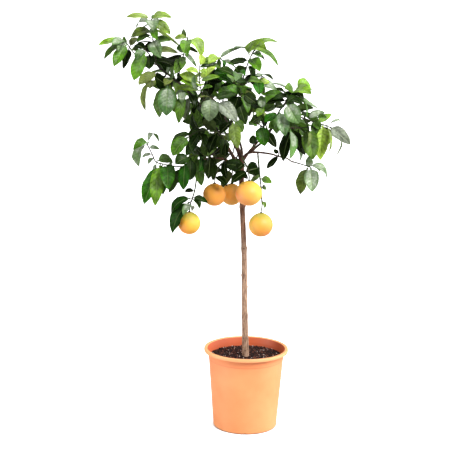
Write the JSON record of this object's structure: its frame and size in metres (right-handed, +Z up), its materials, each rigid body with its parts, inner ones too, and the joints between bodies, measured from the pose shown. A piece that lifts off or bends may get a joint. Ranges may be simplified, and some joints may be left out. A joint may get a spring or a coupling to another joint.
{
  "type": "potted grapefruit tree",
  "caption": "Young citrus tree grown as a standard: slim bare trunk, loose lopsided crown of arched leaves, hanging round fruits, in a tapered round nursery pot.",
  "frame": {"origin": "middle of the pot's flat underside", "axes": "+Z up along the pot's axis; -Y towards the front view, +X to its right"},
  "size_m": [0.9251, 0.5373, 1.5649],
  "materials": {
    "bark": "rough",
    "leaf": "satin",
    "peel": "satin",
    "pot_plastic": "satin",
    "soil": "rough"
  },
  "bodies": {
    "root": {"back_a": "leaf", "back_b": "leaf", "back_c": "leaf", "back_d": "leaf", "back_e": "leaf", "back_f": "leaf", "back_g": "leaf", "back_h": "leaf", "back_i": "leaf", "back_j": "leaf", "back_k": "leaf", "behind_trunk": "leaf", "centre_front": "leaf", "centre_low": "leaf", "centre_shoulder": "leaf", "crest_left": "leaf", "crest_mid": "leaf", "crest_right": "leaf", "crest_second": "leaf", "crest_third": "leaf", "crotch_left": "leaf", "crotch_low": "leaf", "crotch_right": "leaf", "far_left": "leaf", "far_right": "leaf", "fruit_twig_back": "leaf", "fruit_twig_front": "leaf", "fruit_twig_left": "leaf", "fruit_twig_middle": "leaf", "fruit_twig_right": "leaf", "grapefruit_back": "peel", "grapefruit_front": "peel", "grapefruit_left": "peel", "grapefruit_middle": "peel", "grapefruit_right": "peel", "inner_low": "leaf", "inner_right": "leaf", "left_droop": "leaf", "left_front": "leaf", "left_mass": "leaf", "left_mid": "leaf", "left_under": "leaf", "limb_shade": "leaf", "low_left": "leaf", "low_left_mass": "leaf", "low_right": "leaf", "low_right_bud": "leaf", "mid_right": "leaf", "mid_shoulder": "leaf", "pot": "pot_plastic", "right_front": "leaf", "right_hang": "leaf", "right_inner": "leaf", "soil": "soil", "spark": "leaf", "trunk": "bark"}
  },
  "joints": []
}
